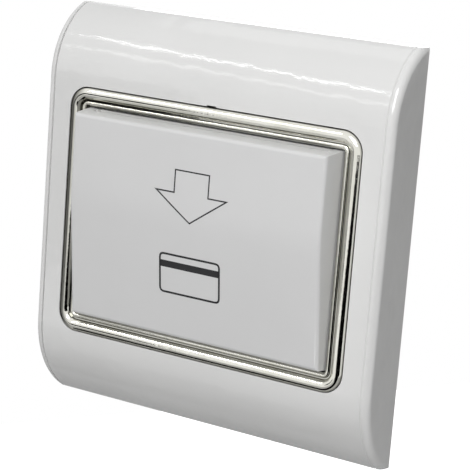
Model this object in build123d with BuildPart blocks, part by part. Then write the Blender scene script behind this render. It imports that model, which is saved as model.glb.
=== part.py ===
from build123d import *
from math import asin, degrees, radians, sin, sqrt, tan
import os

os.makedirs("parts", exist_ok=True)

# Hotel key card switch for a square wall box, in millimetres.
# The wall is the plane Y = 0, the room lies towards -Y and +Z is up.
# A depth is a distance out from the wall, so it is negative behind the wall.

# Clearances shared by all pieces
overrun = 1.0
slip = 0.1
running_gap = 0.3

# Wall plate: a barrel-shaped shell, cut into a frame and two end cheeks
plate_width = 86.0
plate_height = 90.0
plate_depth = 12.86
plate_edge = 2.6
plate_wall = 2.0
top_radius = 17.3
bottom_radius = 21.0
cheek_width = 1.65
cheek_edge_radius = 1.5
cheek_joint_gap = 0.12
cheek_lip_length = 3.0
cheek_lip_wall = 1.2
joint_bevel = 0.3

# Trim ring: an outer bead, a channel and a fine inner bead
ring_side_margin = 6.7
ring_end_margin = 17.4
ring_corner = 4.5
ring_seat = 1.8
ring_gap = 0.22
bead_width = 2.5
bead_proud = 0.8
channel_width = 0.4
channel_sunk = 0.35
fine_bead_width = 1.0
fine_bead_rise = 0.4
ring_lip = 0.1

# Opening in the frame, with the ledge that the insert sits on
ledge_width = 1.5
ledge_thickness = 1.2
collar_wall = 1.5
notch_width = 2.4
notch_height = 0.25
notch_depth = 2.0

# Card cover: a raised wedge, flat above and sloping back below
cover_gap = 0.35
cover_rise = 5.54
cover_toe_rise = 2.04
front_facing_share = 0.9
cover_draft = 5.0
cover_wall = 1.6
cover_bend_height = 4.5
cover_bend_radius = 40.0
cover_edge_radius = 0.8
tab_width = 6.0
tab_height_share = 0.26

# Card pocket: a sleeve for a standard card, tilted so that the card clears the ring
card_side_room = 4.95
card_clearance = 1.0
reader_clearance = 0.72
slot_thickness = 2.0
slot_rise = 1.34
pocket_end_room = 2.5
pocket_wall = 1.0
pocket_side = 1.3
pocket_floor = 1.3
mouth_flare = 0.8
mouth_flare_length = 3.0
flange_thickness = 1.0
flange_inset = 0.3
drain_width = 20.0
peg_radius = 1.7
peg_fit = 0.05
peg_margin = 0.5
peg_end_margin = 6.6
peg_chamfer = 0.4
insert_travel = 12.0

# Mounting plate, with slots for the two wall screws
yoke_side_margin = 4.0
yoke_end_margin = 5.0
yoke_thickness = 2.6
yoke_corner = 3.0
yoke_rim_wall = 1.2
yoke_rim_height = 1.4
screw_side_margin = 8.85
screw_slot_length = 9.0
screw_slot_width = 4.4
socket_wall = 1.15
socket_floor = 0.8
socket_clear = 0.5

# Legs of the frame that hook behind the mounting plate
leg_side_margin = 13.0
leg_width = 8.0
leg_thickness = 1.5
leg_margin = 2.5
leg_barb = 0.8
leg_barb_length = 1.0
leg_shoulder = 2.0
hook_depth = 1.3
seat_pad_wall = 1.6
seat_pad_height = 0.6

# Rear housing, with ears that screw to the mounting plate
housing_width_share = 0.572
housing_height_share = 0.667
housing_depth = 30.0
housing_wall = 1.8
housing_corner = 3.0
housing_edge_radius = 1.2
ear_side_margin = 7.6
ear_rise = 3.0
ear_radius = 3.4
ear_thickness = 2.2
post_radius = 2.0
vent_count = 5
vent_pitch = 4.0
vent_width = 1.5
vent_length = 12.0
vent_margin = 5.0

# Self-tapping screws
ear_screw_radius = 1.25
ear_screw_head_radius = 2.4
ear_screw_head_height = 1.6
ear_screw_length = 6.5
ear_boss_radius = 2.6
ear_boss_height = 4.0
board_screw_radius = 0.9
board_screw_head_radius = 1.7
board_screw_head_height = 1.1
board_screw_length = 5.0
reader_screw_length = 2.4
screw_slot_share = 0.3
screw_slot_depth_share = 0.5

# Reader board behind the pocket, with its antenna, chip and lamps
reader_side_margin = 1.6
reader_height_share = 0.667
reader_thickness = 1.0
reader_standoff = 0.6
reader_boss_radius = 2.1
reader_screw_side_margin = 2.7
reader_screw_end_margin = 7.0
antenna_side_margin = 5.5
antenna_end_margin = 2.0
antenna_turns = 4
antenna_pitch = 1.4
antenna_track_width = 0.8
antenna_track_height = 0.15
chip_size = 5.0
chip_height = 0.9
chip_drop = 3.0
lamp_width = 3.0
lamp_height = 1.4
lamp_rise = 0.8
lamp_margin = 1.4

# Pins that join the two boards
link_pin_count = 4
link_pitch = 2.54
link_pin_width = 0.64
link_body_width = 2.5
link_body_height = 2.5
link_stub = 0.8
link_height_share = 0.3

# Power board
board_thickness = 1.6
board_edge_gap = 0.3
relay_top_gap = 2.8
board_post_margin = 2.7
board_post_top_margin = 3.4
board_post_block_gap = 2.5
board_margin = 1.5
solder_stub = 1.0
board_corner = 1.0

# Wire clamps: a turning screw lifts a cage towards a fixed bar
pole_count = 4
pole_pitch = 9.0
block_end = 1.0
block_height = 12.0
entry_wall = 2.6
cage_width = 6.2
cage_length = 5.0
cage_side = 1.2
cage_floor = 1.0
cage_nut = 2.0
cage_play = 0.15
cage_base_gap = 0.3
wire_gap = 3.0
bar_thickness = 1.0
bar_width = 2.6
bar_nut_gap = 0.3
bar_reach = 2.1
clamp_travel = 2.5
clamp_roof = 0.8
clamp_screw_radius = 1.45
clamp_screw_fit = 0.05
clamp_head_radius = 2.6
clamp_head_height = 1.8
clamp_head_sunk = 0.5
clamp_cross_width = 0.8
clamp_cross_length = 3.6
clamp_cross_depth = 1.0

# Relay
relay_length_share = 0.51
relay_width = 12.8
relay_height = 15.8
relay_wall = 0.8
relay_corner = 0.8
relay_height_share = 0.215
relay_base_height = 2.0
relay_pin_radius = 0.5
relay_pin_hole_gap = 0.1
relay_pin_inset = 2.5
coil_axis_height = 7.2
coil_radius = 4.5
coil_end_room = 15.5
bobbin_flange_radius = 4.9
bobbin_flange = 1.0
bobbin_wall = 0.6
core_radius = 2.4
core_head_radius = 2.9
core_head_length = 0.7
core_fit = 0.05
yoke_leg_start = 1.4
iron_thickness = 1.6
iron_width = 10.0
roof_thickness = 1.4
armature_thickness = 1.2
armature_gap = 0.6
armature_hinge_gap = 0.3
armature_drop = 8.5
armature_angle = 3.8
leaf_thickness = 0.2
leaf_width = 4.0
leaf_length = 10.2
rivet_radius = 0.9
rivet_height = 0.5
rivet_rise = 1.3
contact_gap = 0.1
blade_thickness = 0.3
blade_height = 2.2

# Other parts on the power board: sizes, and places as shares of half the board
line_capacitor_size = (8.5, 18.0, 15.0)
line_capacitor_shares = (-0.74, 0.36)
rectifier_size = (5.0, 4.0, 2.4)
rectifier_shares = (-0.27, -0.04)
control_chip_size = (5.0, 6.2, 1.5)
control_chip_shares = (0.22, -0.5)
fuse_size = (8.4, 4.0, 8.0)
fuse_shares = (-0.25, -0.32)
part_corner = 0.4
varistor_radius = 5.0
varistor_thickness = 4.0
varistor_lead_radius = 0.4
varistor_lead_spacing = 5.0
varistor_lead_length = 1.5
varistor_shares = (-0.74, -0.33)
filter_radii = (4.0, 3.0)
filter_heights = (12.0, 9.0)
filter_shares = ((-0.1, 0.63), (0.4, 0.875))
filter_groove = 0.35
filter_groove_rise = 1.5


def plane_out(depth):
    """A plane that faces the room, at a depth out from the wall."""
    return Plane.XZ.offset(depth)


def save(piece, name):
    """Label a finished piece and write it as one file."""
    piece.part.label = name
    export_step(piece.part, f"parts/{name}.step")


def corners(x, z):
    """Four places, mirrored about both centre lines."""
    return [(side * x, end * z) for side in (-1, 1) for end in (-1, 1)]


# Places worked out from the sizes above
half_width = plate_width / 2
half_height = plate_height / 2
frame_half = half_width - cheek_width - cheek_joint_gap
ring_width = plate_width - 2 * ring_side_margin
ring_height = plate_height - 2 * ring_end_margin
cover_depth = plate_depth + cover_rise
cover_toe_depth = plate_depth + cover_toe_rise
slot_front_depth = plate_depth + slot_rise
flange_front = plate_depth - ring_seat
flange_back = flange_front - flange_thickness
ledge_back = flange_back - ledge_thickness
opening_width = ring_width - 2 * ledge_width
opening_height = ring_height - 2 * ledge_width
rebate_width = ring_width + 2 * ring_gap
rebate_height = ring_height + 2 * ring_gap
rebate_corner = ring_corner + ring_gap
ring_band = bead_width + channel_width + fine_bead_width + ring_lip
cover_width = ring_width - 2 * (ring_band + cover_gap)
cover_height = ring_height - 2 * (ring_band + cover_gap)
tab_places = corners((cover_width - cover_wall) / 2, cover_height * tab_height_share)
card_width = cover_width - 2 * card_side_room
pocket_width = card_width + 2 * card_clearance
pocket_length = cover_height - pocket_end_room
sleeve_width = pocket_width + 2 * pocket_side
peg_x = opening_width / 2 - peg_radius - peg_margin
peg_places = corners(peg_x, opening_height / 2 - peg_end_margin)
socket_front = ledge_back - socket_clear
peg_tip = socket_front - insert_travel
yoke_width = plate_width - 2 * yoke_side_margin
yoke_height = plate_height - 2 * yoke_end_margin
screw_spacing = yoke_width - 2 * screw_side_margin
leg_spacing = yoke_width - 2 * leg_side_margin
leg_outer = yoke_height / 2 - leg_margin
housing_width = plate_width * housing_width_share
housing_height = plate_height * housing_height_share
ear_places = corners(housing_width / 2 - ear_side_margin, housing_height / 2 + ear_rise)
reader_width = housing_width - 2 * reader_side_margin
reader_height = housing_height * reader_height_share
reader_back = yoke_thickness + reader_standoff
reader_front = reader_back + reader_thickness
reader_screw_places = corners(
    reader_width / 2 - reader_screw_side_margin,
    reader_height / 2 - reader_screw_end_margin,
)
antenna_width = reader_width - 2 * antenna_side_margin
antenna_height = reader_height - 2 * antenna_end_margin
lamp_inset = antenna_turns * antenna_pitch + lamp_margin
lamp_spacing = antenna_width - 2 * lamp_inset
lamp_place_z = antenna_height / 2 - lamp_inset
board_front = -relay_height - relay_top_gap
board_back = board_front - board_thickness
board_post_length = housing_depth - housing_wall + board_back
board_width = housing_width - 2 * (housing_wall + board_edge_gap)
board_height = housing_height - 2 * (housing_wall + board_edge_gap)
block_top_z = block_height - housing_height / 2
post_x = board_width / 2 - board_post_margin
post_heights = (board_height / 2 - board_post_top_margin, block_top_z + board_post_block_gap)
post_places = [(x, z) for x in (-post_x, post_x) for z in post_heights]
relay_x = board_width / 2 - board_margin - relay_width / 2
relay_place_z = board_height / 2 * relay_height_share
link_place_z = board_height / 2 * link_height_share
capacitor_side = board_width / 2 * line_capacitor_shares[0] + line_capacitor_size[0] / 2
link_place_x = (capacitor_side + relay_x - relay_width / 2) / 2
link_middle = (link_pin_count - 1) / 2
link_pin_places = [
    (link_place_x + (pin - link_middle) * link_pitch, link_place_z) for pin in range(link_pin_count)
]
link_body_length = link_pin_count * link_pitch


# The wall plate's end view
def shoulder_height(radius):
    """Height at which a curved shoulder leaves the flat front."""
    drop = plate_depth - plate_edge
    return half_height - sqrt(radius**2 - (radius - drop) ** 2)


def shoulder_depth(radius, inset, height):
    """Depth of a curved shoulder's surface at a height, for a shell inset from the outside."""
    return plate_depth - radius + sqrt((radius - inset) ** 2 - (height - shoulder_height(radius)) ** 2)


def barrel_outline(x, inset):
    """The plate's end view at a place along X, drawn in from the outside by an inset."""
    front = plate_depth - inset
    edge = half_height - inset
    with BuildSketch(Plane.YZ.offset(x)) as outline:
        with BuildLine():
            face = Line((-front, -shoulder_height(bottom_radius)), (-front, shoulder_height(top_radius)))
            top = TangentArc(face @ 1, (-shoulder_depth(top_radius, inset, edge), edge), tangent=(0, 1))
            low = TangentArc(face @ 0, (-shoulder_depth(bottom_radius, inset, edge), -edge), tangent=(0, -1))
            Polyline(top @ 1, (0, edge), (0, -edge), low @ 1)
        make_face()
    return outline.sketch


# Front frame
with BuildPart() as front_frame:
    extrude(barrel_outline(-frame_half, 0), amount=2 * frame_half)
    end_edges = front_frame.faces().filter_by(Axis.X).edges()
    chamfer(end_edges.filter_by(lambda edge: edge.center().Y < 0), joint_bevel)
    extrude(barrel_outline(-half_width, plate_wall), amount=plate_width, mode=Mode.SUBTRACT)
    with BuildSketch(plane_out(ledge_back)):
        RectangleRounded(
            rebate_width + 2 * collar_wall,
            rebate_height + 2 * collar_wall,
            rebate_corner + collar_wall,
        )
    extrude(amount=plate_depth - plate_wall / 2 - ledge_back)
    with BuildSketch(plane_out(flange_back)):
        RectangleRounded(rebate_width, rebate_height, rebate_corner)
    extrude(amount=plate_depth, mode=Mode.SUBTRACT)
    with BuildSketch(plane_out(0)):
        RectangleRounded(opening_width, opening_height, rebate_corner - ledge_width)
    extrude(amount=plate_depth, mode=Mode.SUBTRACT)
    with BuildSketch(plane_out(plate_depth - notch_depth)):
        with Locations((0, rebate_height / 2)):
            Rectangle(notch_width, 2 * notch_height)
    extrude(amount=plate_depth, mode=Mode.SUBTRACT)
    # Four legs run back from the curved shoulders, with barbs behind the mounting plate
    for end, radius in ((1, top_radius), (-1, bottom_radius)):
        wall_middle = shoulder_depth(radius, plate_wall / 2, leg_outer)
        barb_tip = hook_depth - slip
        leg_middle = end * (leg_outer - leg_thickness / 2)
        with BuildSketch(plane_out(yoke_thickness)):
            with Locations((-leg_spacing / 2, leg_middle), (leg_spacing / 2, leg_middle)):
                Rectangle(leg_width + 2 * leg_shoulder, leg_thickness)
        extrude(amount=wall_middle - yoke_thickness)
        with BuildSketch(plane_out(barb_tip - leg_barb_length)):
            with Locations((-leg_spacing / 2, leg_middle), (leg_spacing / 2, leg_middle)):
                Rectangle(leg_width, leg_thickness)
        extrude(amount=yoke_thickness + leg_barb_length - barb_tip)
        barb_middle = end * (leg_outer + leg_barb / 2)
        with BuildSketch(plane_out(barb_tip - leg_barb_length)):
            with Locations((-leg_spacing / 2, barb_middle), (leg_spacing / 2, barb_middle)):
                Rectangle(leg_width, leg_barb)
        extrude(amount=leg_barb_length)
save(front_frame, "front_frame")


# End cheeks: each closes one end of the barrel, and its lip plugs into the shell
for side, name in ((-1, "left_cheek"), (1, "right_cheek")):
    lip_outer = plate_wall + slip
    with BuildPart() as cheek:
        extrude(barrel_outline(side * (half_width - cheek_width), 0), amount=side * cheek_width)
        outer_face = cheek.faces().sort_by(Axis.X)[-1 if side > 0 else 0]
        rounded = outer_face.edges().filter_by(lambda edge: edge.center().Y < -plate_edge)
        fillet(rounded, cheek_edge_radius)
        extrude(barrel_outline(side * (half_width - cheek_width), lip_outer), amount=-side * cheek_lip_length)
        extrude(
            barrel_outline(side * (half_width - cheek_width), lip_outer + cheek_lip_wall),
            amount=-side * (cheek_lip_length + overrun),
            mode=Mode.SUBTRACT,
        )
    save(cheek, name)


# Trim ring: one section swept round a rounded rectangle
with BuildSketch(plane_out(plate_depth)) as ring_outline:
    RectangleRounded(ring_width, ring_height, ring_corner)
ring_path = ring_outline.sketch.face().outer_wire()
ring_start = ring_path @ 0
ring_tangent = ring_path % 0
inward = Vector(0, -1, 0).cross(ring_tangent)
section_plane = Plane(origin=ring_start, x_dir=inward, z_dir=ring_tangent)
with BuildPart() as chrome_ring:
    with BuildSketch(section_plane) as ring_section:
        with BuildLine():
            fine_start = bead_width + channel_width
            fine_middle = fine_start + fine_bead_width / 2
            bead = ThreePointArc((0, 0), (bead_width / 2, bead_proud), (bead_width, 0))
            floor = Polyline(bead @ 1, (bead_width, -channel_sunk), (fine_start, -channel_sunk))
            fine = ThreePointArc(
                floor @ 1,
                (fine_middle, fine_bead_rise - channel_sunk),
                (fine_start + fine_bead_width, -channel_sunk),
            )
            Polyline(fine @ 1, (ring_band, -channel_sunk), (ring_band, -ring_seat), (0, -ring_seat), bead @ 0)
        make_face()
    sweep(path=ring_path)
save(chrome_ring, "chrome_ring")


# Card cover
with BuildPart() as card_cover:
    with BuildSketch(plane_out(flange_front)):
        Rectangle(cover_width, cover_height)
    extrude(amount=cover_depth - flange_front, taper=cover_draft)
    # What lies in front of the flat upper face and the sloping lower one is cut away
    slope = (cover_depth - cover_toe_depth) / (cover_height / 2 + cover_bend_height)
    foot = cover_height / 2 + overrun
    with BuildSketch(Plane.YZ.offset(-half_width)):
        with BuildLine():
            front_line = FilletPolyline(
                (-cover_depth, foot),
                (-cover_depth, cover_bend_height),
                (slope * (foot + cover_bend_height) - cover_depth, -foot),
                radius=cover_bend_radius,
            )
            cut_front = -cover_depth - overrun
            Polyline(front_line @ 1, (cut_front, -foot), (cut_front, foot), front_line @ 0)
        make_face()
    extrude(amount=plate_width, mode=Mode.SUBTRACT)
    offset(amount=-cover_wall, openings=card_cover.faces().sort_by(Axis.Y)[-1])
    # The slot takes the back of the top wall, and four tabs reach into the flange behind
    with BuildSketch(plane_out(flange_front - overrun)):
        with Locations((0, cover_height / 2)):
            Rectangle(sleeve_width + 2 * slip, 4 * cover_wall)
    extrude(amount=slot_front_depth - flange_front + overrun, mode=Mode.SUBTRACT)
    with BuildSketch(plane_out(flange_back)):
        with Locations(*tab_places):
            Rectangle(cover_wall - 2 * slip, tab_width)
    extrude(amount=flange_thickness + slip)
    front_faces = card_cover.faces().filter_by(lambda face: face.normal_at().Y < -front_facing_share)
    outline_edges = front_faces.edges()
    side_edges = outline_edges.filter_by(lambda edge: abs(edge.center().X) > cover_width / 4)
    end_edges = [outline_edges.sort_by(Axis.Z)[-1], outline_edges.sort_by(Axis.Z)[0]]
    fillet(side_edges + end_edges, cover_edge_radius)
save(card_cover, "card_cover")


# Card pocket: a tilted sleeve in two halves, and the carrier that it passes through
slot_middle = slot_front_depth - slot_thickness / 2
sleeve_front_drop = (slot_front_depth + pocket_wall - flange_front) * tan(radians(cover_draft))
sleeve_front_top = cover_height / 2 - cover_wall - sleeve_front_drop - slip
sleeve_half_depth = slot_thickness / 2 + pocket_wall
sleeve_length = pocket_length + pocket_floor
sleeve_top = cover_height / 2 - slip
sleeve_fall = slot_middle - sleeve_half_depth - reader_front - reader_clearance
card_tilt = degrees(asin(sleeve_fall / sleeve_length))
card_plane = Plane(
    origin=(0, -slot_middle, cover_height / 2),
    x_dir=(1, 0, 0),
    z_dir=Vector(0, -1, 0).rotate(Axis.X, card_tilt),
)


def sleeve_layer(low, high):
    """One layer of the tilted sleeve, between two distances along its normal, level at the mouth."""
    with BuildPart() as layer:
        with BuildSketch(card_plane.offset(low)):
            with Locations((0, overrun)):
                Rectangle(sleeve_width, sleeve_length + overrun, align=(Align.CENTER, Align.MAX))
        extrude(amount=high - low)
        with BuildSketch(Plane.XY.offset(sleeve_top)):
            Rectangle(plate_width, plate_width)
        extrude(amount=plate_height, mode=Mode.SUBTRACT)
        with BuildSketch(Plane.XY.offset(sleeve_front_top)):
            with Locations((0, -slot_middle)):
                Rectangle(plate_width, plate_depth, align=(Align.CENTER, Align.MAX))
        extrude(amount=plate_height, mode=Mode.SUBTRACT)
    return layer


# The back half is a tray that the card slides down, with a drain in its floor
pocket_tray = sleeve_layer(-sleeve_half_depth, slot_thickness / 2)
with BuildPart() as card_pocket:
    add(pocket_tray.part)
    with BuildSketch(card_plane):
        with Locations((0, pocket_floor)):
            Rectangle(pocket_width, sleeve_length, align=(Align.CENTER, Align.MAX))
        Polygon(
            (-pocket_width / 2, -mouth_flare_length),
            (pocket_width / 2, -mouth_flare_length),
            (pocket_width / 2 + mouth_flare, 0),
            (-pocket_width / 2 - mouth_flare, 0),
            align=None,
        )
    extrude(amount=slot_thickness / 2, both=True, mode=Mode.SUBTRACT)
    with BuildSketch(card_plane):
        with Locations((0, -pocket_length)):
            Rectangle(drain_width, 3 * pocket_floor)
    extrude(amount=slot_thickness / 4, both=True, mode=Mode.SUBTRACT)
save(card_pocket, "card_pocket")

# The front half is a plain sheet on the tray's rims
pocket_front = sleeve_layer(slot_thickness / 2, sleeve_half_depth)
save(pocket_front, "pocket_front")

# The carrier lies under the ring and the cover, round the sleeve, and stands on four pegs
sleeve_low = pocket_front.part.bounding_box().min.Z
with BuildPart() as pocket_carrier:
    with BuildSketch(plane_out(flange_back)):
        RectangleRounded(
            ring_width - 2 * flange_inset,
            ring_height - 2 * flange_inset,
            ring_corner - flange_inset,
        )
        with Locations((0, (sleeve_top + sleeve_low) / 2)):
            Rectangle(sleeve_width + 2 * slip, sleeve_top - sleeve_low + 2 * slip, mode=Mode.SUBTRACT)
        with Locations(*tab_places):
            Rectangle(cover_wall, tab_width + 2 * slip, mode=Mode.SUBTRACT)
    extrude(amount=flange_thickness)
    with BuildSketch(plane_out(peg_tip)):
        with Locations(*peg_places):
            Circle(peg_radius)
    extrude(amount=flange_back - peg_tip)
    chamfer(pocket_carrier.edges().filter_by(GeomType.CIRCLE).group_by(Axis.Y)[-1], peg_chamfer)
save(pocket_carrier, "pocket_carrier")


# Mounting plate
leg_windows = corners(leg_spacing / 2, leg_outer - (leg_thickness + leg_barb) / 2)
barb_windows = corners(leg_spacing / 2, leg_outer + leg_barb / 2)
socket_back = peg_tip - running_gap - socket_floor
ear_screw_tip = ear_screw_length - ear_thickness
with BuildPart() as mounting_plate:
    with BuildSketch(plane_out(0)):
        RectangleRounded(yoke_width, yoke_height, yoke_corner)
    extrude(amount=yoke_thickness)
    with BuildSketch(plane_out(yoke_thickness)):
        RectangleRounded(yoke_width, yoke_height, yoke_corner)
        RectangleRounded(
            yoke_width - 2 * yoke_rim_wall,
            yoke_height - 2 * yoke_rim_wall,
            yoke_corner - yoke_rim_wall,
            mode=Mode.SUBTRACT,
        )
    extrude(amount=yoke_rim_height)
    with BuildSketch(plane_out(yoke_thickness)):
        with Locations((-screw_spacing / 2, 0), (screw_spacing / 2, 0)):
            SlotOverall(screw_slot_length + 2 * seat_pad_wall, screw_slot_width + 2 * seat_pad_wall)
    extrude(amount=seat_pad_height)
    with BuildSketch(plane_out(socket_back)):
        with Locations(*peg_places):
            Circle(peg_radius + peg_fit + socket_wall)
    extrude(amount=socket_front - socket_back)
    with BuildSketch(plane_out(yoke_thickness)):
        with Locations(*reader_screw_places):
            Circle(reader_boss_radius)
    extrude(amount=reader_standoff)
    with BuildSketch(plane_out(yoke_thickness)):
        with Locations(*ear_places):
            Circle(ear_boss_radius)
    extrude(amount=ear_boss_height)
    # Openings: wall screws, pegs, housing and reader screws, the frame's hooks and the link pins
    with BuildSketch(plane_out(-overrun)):
        with Locations((-screw_spacing / 2, 0), (screw_spacing / 2, 0)):
            SlotOverall(screw_slot_length, screw_slot_width)
    extrude(amount=yoke_thickness + seat_pad_height + 2 * overrun, mode=Mode.SUBTRACT)
    with BuildSketch(plane_out(peg_tip - running_gap)):
        with Locations(*peg_places):
            Circle(peg_radius + peg_fit)
    extrude(amount=socket_front - peg_tip + running_gap, mode=Mode.SUBTRACT)
    with BuildSketch(plane_out(0)):
        with Locations(*ear_places):
            Circle(ear_screw_radius + peg_fit)
    extrude(amount=ear_screw_tip + running_gap, mode=Mode.SUBTRACT)
    with BuildSketch(plane_out(reader_front - reader_screw_length - running_gap)):
        with Locations(*reader_screw_places):
            Circle(board_screw_radius + peg_fit)
    extrude(amount=reader_screw_length, mode=Mode.SUBTRACT)
    with BuildSketch(plane_out(0)):
        with Locations(*leg_windows):
            Rectangle(leg_width + 2 * slip, leg_thickness + leg_barb + 2 * slip)
        with Locations((link_place_x, link_place_z)):
            Rectangle(link_body_length + 2 * slip, link_body_width + 2 * slip)
    extrude(amount=yoke_thickness, mode=Mode.SUBTRACT)
    with BuildSketch(plane_out(0)):
        with Locations(*barb_windows):
            Rectangle(leg_width + 2 * slip, leg_barb + 2 * slip)
    extrude(amount=hook_depth, mode=Mode.SUBTRACT)
save(mounting_plate, "mounting_plate")


# Heights in the wire clamps, from the power board's back towards the rear
window_low = cage_base_gap + cage_floor
bar_low = window_low + wire_gap
bar_top = bar_low + bar_thickness
nut_low = bar_top + bar_nut_gap
cage_top = nut_low + cage_nut
cavity_top = cage_top + clamp_travel + slip
head_low = cavity_top + clamp_roof
block_top = head_low + clamp_head_height + clamp_head_sunk
window_width = cage_width - 2 * cage_side
block_width = pole_count * pole_pitch + 2 * block_end
block_low_z = -housing_height / 2
block_middle_z = block_low_z + block_height / 2
cavity_low_z = block_low_z + entry_wall
cavity_top_z = cavity_low_z + cage_length + 2 * cage_play
cage_z = (cavity_low_z + cavity_top_z) / 2
bar_end_z = cavity_top_z + bar_reach
pole_xs = [(pole - (pole_count - 1) / 2) * pole_pitch for pole in range(pole_count)]
pole_places = [(x, cage_z) for x in pole_xs]


def clamp_plane(height):
    """A plane across the wire clamps, at a height behind the power board."""
    return plane_out(board_back - height)


# Rear housing
with BuildPart() as rear_housing:
    with BuildSketch(plane_out(0)):
        RectangleRounded(housing_width, housing_height, housing_corner)
    extrude(amount=-housing_depth)
    fillet(rear_housing.faces().sort_by(Axis.Y)[-1].edges(), housing_edge_radius)
    with BuildSketch(plane_out(0)):
        with Locations(*ear_places):
            Circle(ear_radius)
        for x, z in ear_places:
            with Locations((x, z * housing_height / (housing_height + 2 * ear_rise))):
                Rectangle(2 * ear_radius, 2 * ear_rise)
    extrude(amount=-ear_thickness)
    with BuildSketch(plane_out(0)):
        RectangleRounded(
            housing_width - 2 * housing_wall,
            housing_height - 2 * housing_wall,
            housing_corner - housing_wall,
        )
        with Locations(*ear_places):
            Circle(ear_screw_radius + slip)
    extrude(amount=housing_wall - housing_depth, mode=Mode.SUBTRACT)
    with BuildSketch(plane_out(board_back)):
        with Locations(*post_places):
            Circle(post_radius)
    extrude(amount=-board_post_length)
    with BuildSketch(plane_out(board_back)):
        with Locations(*post_places):
            Circle(board_screw_radius + peg_fit)
    extrude(amount=board_thickness - board_screw_length - running_gap, mode=Mode.SUBTRACT)
    with BuildSketch(clamp_plane(0)):
        with Locations((0, block_top_z + slip)):
            Rectangle(block_width + 2 * slip, block_height + overrun, align=(Align.CENTER, Align.MAX))
    extrude(amount=-housing_depth, mode=Mode.SUBTRACT)
    with BuildSketch(Plane.XY.offset(housing_height / 2 - housing_wall - overrun)):
        for vent in range(vent_count):
            vent_middle = vent_margin + vent_width + vent * vent_pitch
            with Locations((0, vent_middle)):
                SlotOverall(vent_length, vent_width)
    extrude(amount=housing_wall + 2 * overrun, mode=Mode.SUBTRACT)
save(rear_housing, "rear_housing")


def screw_group(places, seat, facing, radius, head_radius, head_height, length):
    """Pan-head screws whose heads stand on a plane and face the room (1) or the rear (-1)."""
    with BuildPart() as group:
        with BuildSketch(plane_out(seat)):
            with Locations(*places):
                Circle(head_radius)
        extrude(amount=facing * head_height)
        fillet(group.edges().group_by(Axis.Y)[0 if facing > 0 else -1], head_height / 2)
        with BuildSketch(plane_out(seat)):
            with Locations(*places):
                Circle(radius)
        extrude(amount=-facing * length)
        with BuildSketch(plane_out(seat + facing * head_height)):
            with Locations(*places):
                Rectangle(head_radius, head_radius * screw_slot_share)
                Rectangle(head_radius * screw_slot_share, head_radius)
        extrude(amount=-facing * head_height * screw_slot_depth_share, mode=Mode.SUBTRACT)
    return group


housing_screws = screw_group(
    ear_places,
    -ear_thickness,
    -1,
    ear_screw_radius,
    ear_screw_head_radius,
    ear_screw_head_height,
    ear_screw_length,
)
save(housing_screws, "housing_screws")
board_screws = screw_group(
    post_places,
    board_front,
    1,
    board_screw_radius,
    board_screw_head_radius,
    board_screw_head_height,
    board_screw_length,
)
save(board_screws, "board_screws")
reader_screws = screw_group(
    reader_screw_places,
    reader_front,
    1,
    board_screw_radius,
    board_screw_head_radius,
    board_screw_head_height,
    reader_screw_length,
)
save(reader_screws, "reader_screws")


# Reader board with its antenna track, chip and lamps
with BuildPart() as reader_board:
    with BuildSketch(plane_out(reader_back)):
        RectangleRounded(reader_width, reader_height, board_corner)
        with Locations(*reader_screw_places):
            Circle(board_screw_radius + slip, mode=Mode.SUBTRACT)
        with Locations(*link_pin_places):
            Circle(link_pin_width, mode=Mode.SUBTRACT)
    extrude(amount=reader_thickness)
save(reader_board, "reader_board")

antenna_points = []
for turn in range(antenna_turns):
    inset = turn * antenna_pitch
    right = antenna_width / 2 - inset
    top = antenna_height / 2 - inset
    start = -right if turn == 0 else -right - antenna_pitch
    antenna_points += [(start, top), (right, top), (right, -top), (-right, -top)]
with BuildPart() as antenna_track:
    with BuildSketch(plane_out(reader_front)):
        with BuildLine():
            Polyline(*antenna_points)
        trace(line_width=antenna_track_width)
    extrude(amount=antenna_track_height)
save(antenna_track, "antenna_track")

with BuildPart() as reader_chip:
    with BuildSketch(plane_out(reader_front)):
        with Locations((0, -chip_drop)):
            Rectangle(chip_size, chip_size)
    extrude(amount=chip_height)
    chamfer(reader_chip.edges().group_by(Axis.Y)[0], chip_height / 4)
save(reader_chip, "reader_chip")

with BuildPart() as locator_lamps:
    with BuildSketch(plane_out(reader_front)):
        with Locations((-lamp_spacing / 2, lamp_place_z), (lamp_spacing / 2, lamp_place_z)):
            Rectangle(lamp_width, lamp_height)
    extrude(amount=lamp_rise)
    chamfer(locator_lamps.edges().group_by(Axis.Y)[0], lamp_rise / 4)
save(locator_lamps, "locator_lamps")


# Link between the boards: two header bodies and four long pins
with BuildPart() as link_header:
    for body_back in (board_front, reader_back - link_body_height):
        with BuildSketch(plane_out(body_back)):
            with Locations((link_place_x, link_place_z)):
                Rectangle(link_body_length, link_body_width)
            with Locations(*link_pin_places):
                Rectangle(link_pin_width + slip, link_pin_width + slip, mode=Mode.SUBTRACT)
        extrude(amount=link_body_height)
save(link_header, "link_header")

with BuildPart() as link_pins:
    with BuildSketch(plane_out(board_back - solder_stub)):
        with Locations(*link_pin_places):
            Rectangle(link_pin_width, link_pin_width)
    extrude(amount=reader_front + link_stub + solder_stub - board_back)
save(link_pins, "link_pins")


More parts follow.
